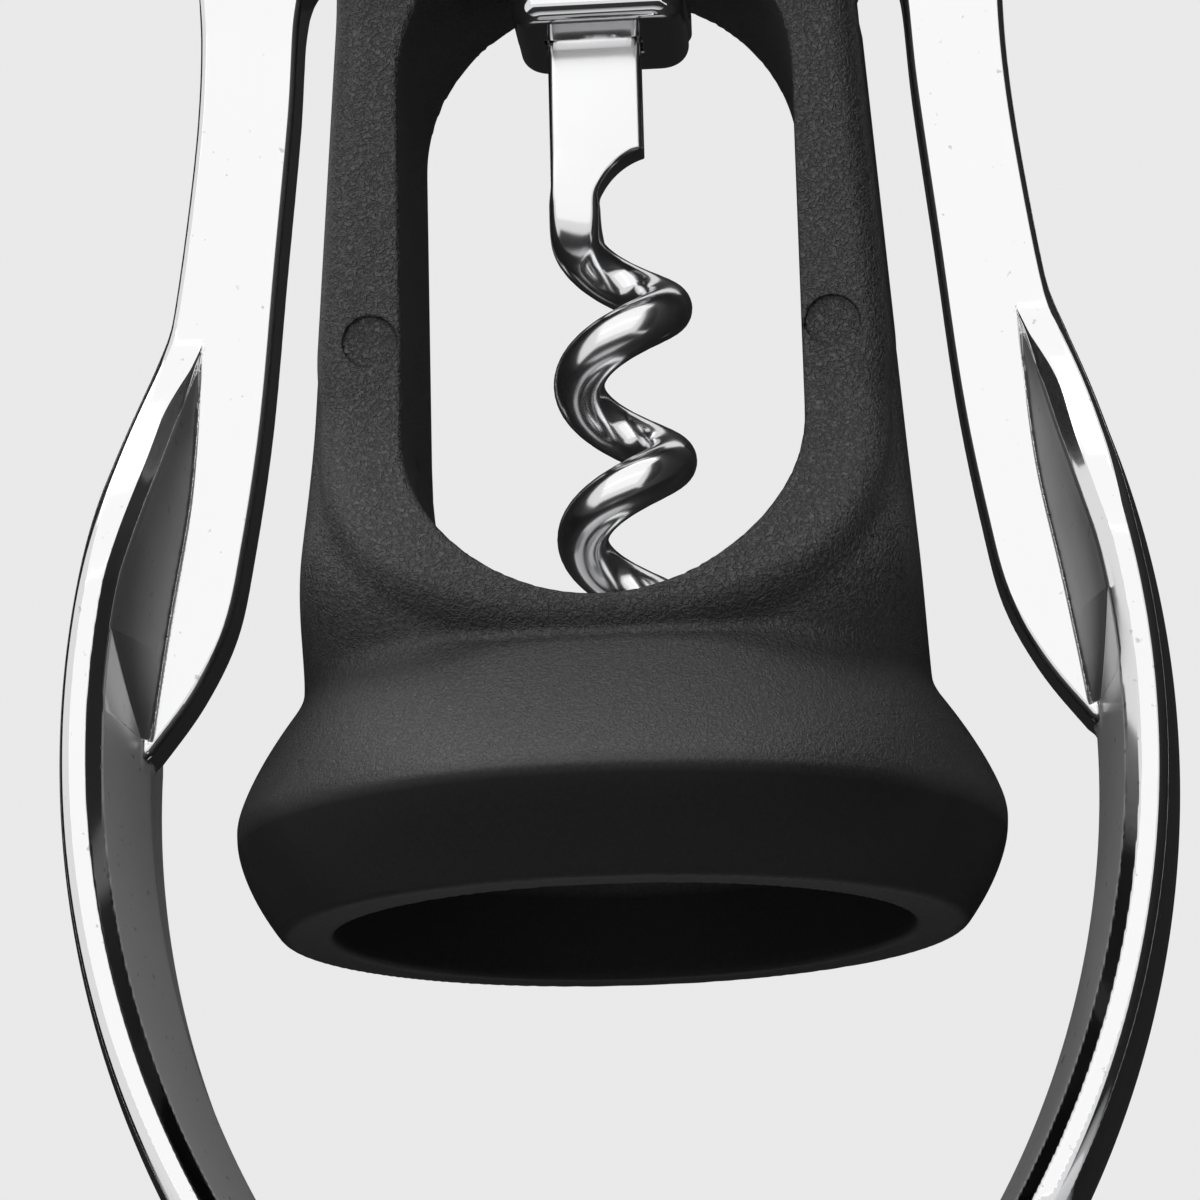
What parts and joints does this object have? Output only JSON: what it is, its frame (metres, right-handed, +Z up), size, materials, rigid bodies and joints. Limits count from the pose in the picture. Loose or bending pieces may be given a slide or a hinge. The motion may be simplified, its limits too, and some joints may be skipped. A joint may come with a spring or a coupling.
{
  "type": "wing corkscrew",
  "caption": "Double-lever corkscrew: black moulded bell and window frame, plated levers geared to a ring-toothed rack, steel worm and a handle with a cap lifter.",
  "frame": {"origin": "centre of the bell's rim, on the axis of the bore for the bottle's neck", "axes": "+Z up the screw's axis towards the handle, +X towards the right lever, -Y to the front of the window"},
  "size_m": [0.0654, 0.0444, 0.1813],
  "materials": {
    "moulding": "fine spark-eroded grain",
    "lever_plating": "bright plated casting",
    "rivet_steel": "zinc plated",
    "rack_plating": "bright plated casting",
    "worm_steel": "polished steel wire",
    "collar_plating": "bright plated casting",
    "pin_steel": "ground",
    "washer_steel": "stamped",
    "handle_plating": "bright plated casting"
  },
  "bodies": {
    "frame": {"body": "moulding", "left_pivot_rivet": "rivet_steel", "right_pivot_rivet": "rivet_steel", "left_rivet_washer": "rivet_steel", "right_rivet_washer": "rivet_steel"},
    "left_arm": {"left_lever": "lever_plating"},
    "right_arm": {"right_lever": "lever_plating"},
    "rack": {"rack_sleeve": "rack_plating"},
    "screw": {"worm": "worm_steel", "collar": "collar_plating", "collar_pin": "pin_steel", "lower_washer": "washer_steel", "upper_washer": "washer_steel", "handle": "handle_plating", "handle_pin": "pin_steel"}
  },
  "joints": [
    {"name": "left_arm_swing", "type": "hinge", "parent": "frame", "child": "left_arm", "pos_m": [-0.01827, 0, 0.075], "axis": [0, 1, 0], "range_deg": [0, 145]},
    {"name": "right_arm_swing", "type": "hinge", "parent": "frame", "child": "right_arm", "pos_m": [0.01827, 0, 0.075], "axis": [0, -1, 0], "range_deg": [0, 145]},
    {"name": "rack_slide", "type": "slide", "parent": "frame", "child": "rack", "axis": [0, 0, -1], "range_m": [0, 0.03384]},
    {"name": "screw_turn", "type": "hinge", "parent": "rack", "child": "screw", "pos_m": [0, 0, 0.1], "axis": [0, 0, 1], "continuous": true}
  ],
  "couplings": [
    {"joint": "right_arm_swing", "follows": "left_arm_swing", "ratio": 1},
    {"joint": "rack_slide", "follows": "left_arm_swing", "m_per_rad": 0.013369}
  ]
}
